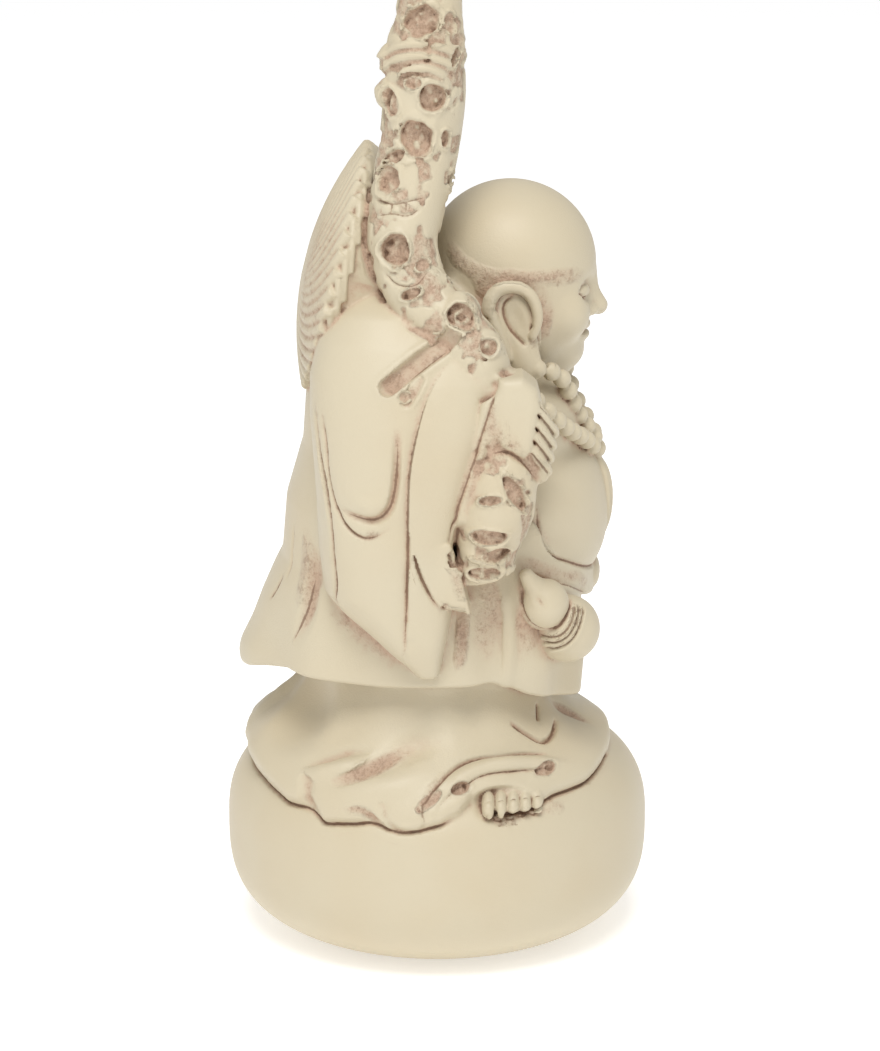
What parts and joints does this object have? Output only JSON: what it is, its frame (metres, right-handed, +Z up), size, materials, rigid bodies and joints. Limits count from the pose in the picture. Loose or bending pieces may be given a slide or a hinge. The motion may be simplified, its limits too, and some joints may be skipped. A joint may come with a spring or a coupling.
{
  "type": "hotei figure",
  "caption": "Standing laughing monk with a knotted staff over the shoulder, a straw hat on the back and a gourd at the hip, cast in one with a pebble base.",
  "frame": {"origin": "centre of the flat underside of the base", "axes": "+Z up along the base's axis, -Y forward out of the belly, -X to the figure's right hand with the staff"},
  "size_m": [0.089, 0.089, 0.2122],
  "materials": {
    "resin": "satin ivory cast resin with a pinkish brown wash in its recesses"
  },
  "bodies": {
    "root": {"hotei_figure": "resin"}
  },
  "joints": []
}
